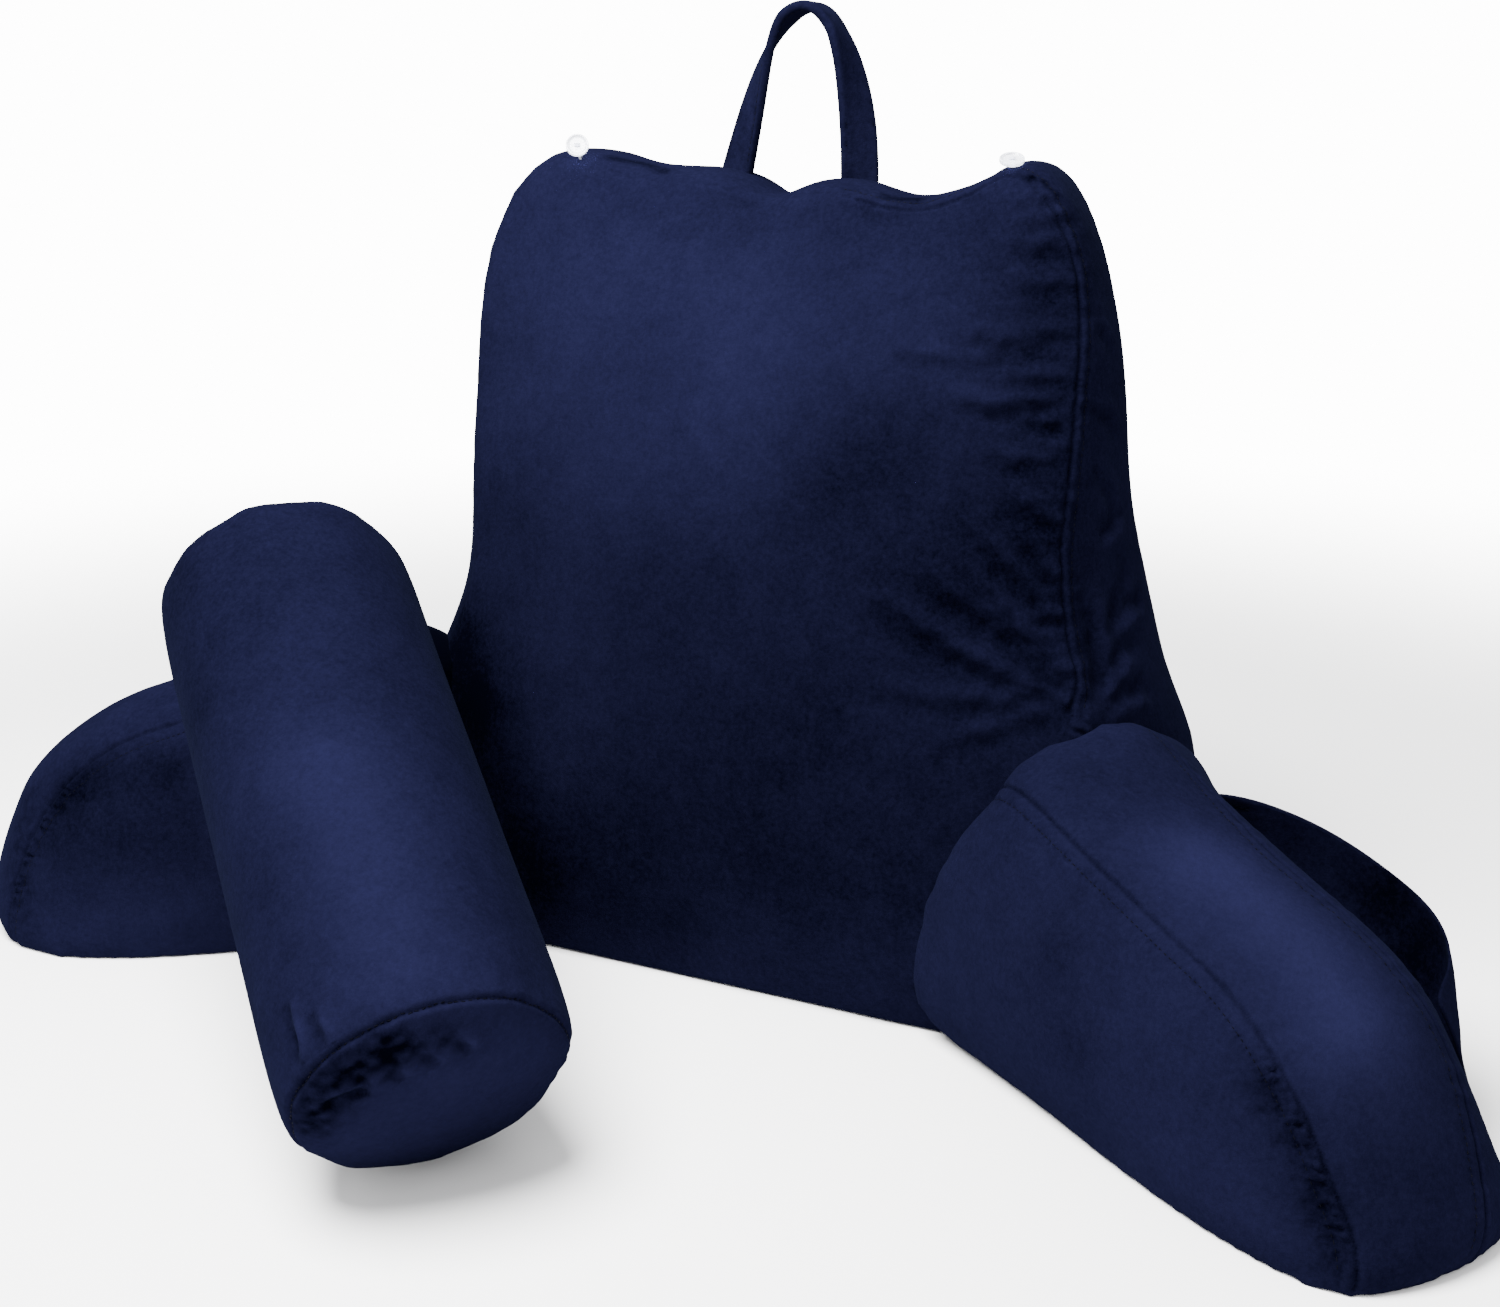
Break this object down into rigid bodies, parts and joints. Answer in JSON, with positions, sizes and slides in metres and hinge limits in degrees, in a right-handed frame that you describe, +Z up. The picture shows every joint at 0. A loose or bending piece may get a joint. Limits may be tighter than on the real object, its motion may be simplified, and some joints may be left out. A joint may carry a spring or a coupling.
{
  "type": "backrest pillow with detached neck roll",
  "caption": "Filled back cushion with splayed arms, a side pocket, a strap handle and clear buttons, its bolster neck roll taken off and leaning on one arm.",
  "frame": {"origin": "centre of the backrest's flat base, on the surface that the pillow stands on", "axes": "+Z up, the front of the backrest faces -Y, +X to the right as seen from the front"},
  "size_m": [1.2325, 0.6843, 0.7455],
  "materials": {
    "plush": "navy short-pile plush, nap catching the light",
    "strap": "navy plush strap, two rows of topstitching",
    "button": "clear moulded plastic"
  },
  "bodies": {
    "root": {"backrest": "plush", "arm_left": "plush", "arm_right": "plush", "pocket_right": "plush", "neck_roll": "plush", "handle": "strap", "button_left": "button", "button_right": "button"}
  },
  "joints": []
}
